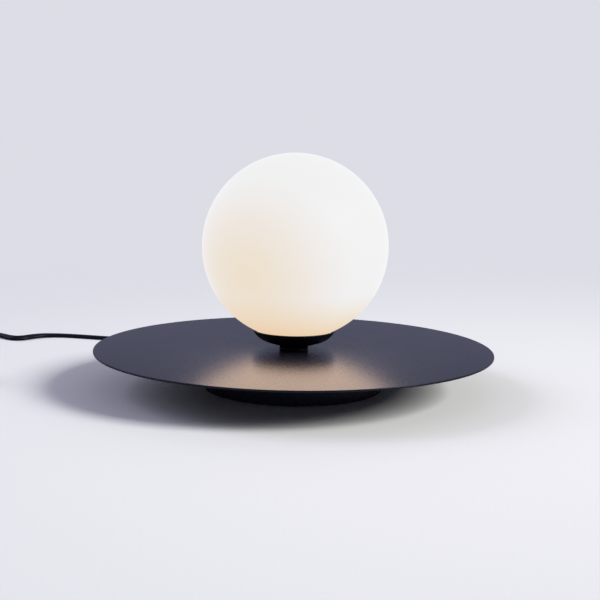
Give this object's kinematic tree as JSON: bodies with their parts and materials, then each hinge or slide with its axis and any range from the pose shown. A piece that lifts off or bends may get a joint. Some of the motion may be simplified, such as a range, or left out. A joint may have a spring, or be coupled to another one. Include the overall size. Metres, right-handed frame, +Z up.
{
  "type": "table lamp",
  "caption": "Table lamp with an opal glass globe held in a shallow cup on a wide flat disc, carried by a low drum, with a flat cord, in-line rocker switch and plug.",
  "frame": {"origin": "centre of the base on the table, on the lamp's axis", "axes": "+Z up along the lamp's axis, -Y towards the front, the cord leaves at +Y"},
  "size_m": [0.4835, 0.3639, 0.179],
  "materials": {
    "black_coat": "satin",
    "opal_glass": "satin",
    "plated_steel": "satin",
    "brass": "satin",
    "ballast_iron": "matte",
    "foot_rubber": "matte",
    "silicone": "satin",
    "ceramic_white": "satin",
    "white_plastic": "satin",
    "black_plastic": "satin",
    "cord_pvc": "satin",
    "wire_sleeve": "satin",
    "bulb_frost": "satin",
    "led_phosphor": "satin"
  },
  "bodies": {
    "lamp": {"base_disc": "black_coat", "base_drum": "black_coat", "bottom_cover": "black_coat", "ballast_ring": "ballast_iron", "cover_posts": "plated_steel", "cover_screws": "plated_steel", "rubber_feet": "foot_rubber", "neck_spacer": "black_coat", "globe_cup": "black_coat", "thread_collar": "plated_steel", "stem_pipe": "plated_steel", "stem_washer": "plated_steel", "lower_nut": "plated_steel", "upper_nut": "plated_steel", "socket_bracket": "plated_steel", "lamp_socket": "ceramic_white", "socket_contacts": "brass", "socket_screws": "plated_steel", "lamp_leads": "wire_sleeve", "terminal_block": "white_plastic", "terminal_tubes": "brass", "terminal_screws": "plated_steel", "clamp_block": "white_plastic", "clamp_bar": "white_plastic", "clamp_screws": "plated_steel", "cord_boot": "foot_rubber", "cord_inner": "cord_pvc", "cord_cores": "wire_sleeve", "cord_lead": "cord_pvc", "switch_base": "black_plastic", "switch_cover": "black_plastic", "rocker_axle": "plated_steel", "switch_terminals": "brass", "switch_screws": "plated_steel", "cord_run": "cord_pvc", "cord_coil": "cord_pvc", "coil_tie": "foot_rubber", "cord_tail": "cord_pvc", "plug_boot": "foot_rubber", "plug_body": "black_plastic", "plug_pins": "brass", "plug_sleeves": "black_plastic"},
    "gasket": {"globe_gasket": "silicone"},
    "globe": {"glass_globe": "opal_glass"},
    "bulb": {"bulb_base": "white_plastic", "bulb_pins": "plated_steel", "bulb_core": "white_plastic", "bulb_chips": "led_phosphor", "bulb_envelope": "bulb_frost"},
    "rocker": {"switch_rocker": "black_plastic"}
  },
  "joints": [
    {"name": "globe_rise", "type": "slide", "parent": "lamp", "child": "gasket", "axis": [0, 0, 1], "range_m": [0, 0.0038]},
    {"name": "globe_turn", "type": "hinge", "parent": "gasket", "child": "globe", "pos_m": [0, 0, 0.109], "axis": [0, 0, 1], "range_deg": [0, 450]},
    {"name": "bulb_pull", "type": "slide", "parent": "lamp", "child": "bulb", "axis": [0, 0, 1], "range_m": [0, 0.01]},
    {"name": "rocker_tilt", "type": "hinge", "parent": "lamp", "child": "rocker", "pos_m": [-0.315, 0.135, 0.0116], "axis": [1, 0, 0], "range_deg": [0, 16]}
  ],
  "couplings": [
    {"joint": "globe_rise", "follows": "globe_turn", "m_per_rad": 0.00047746}
  ]
}
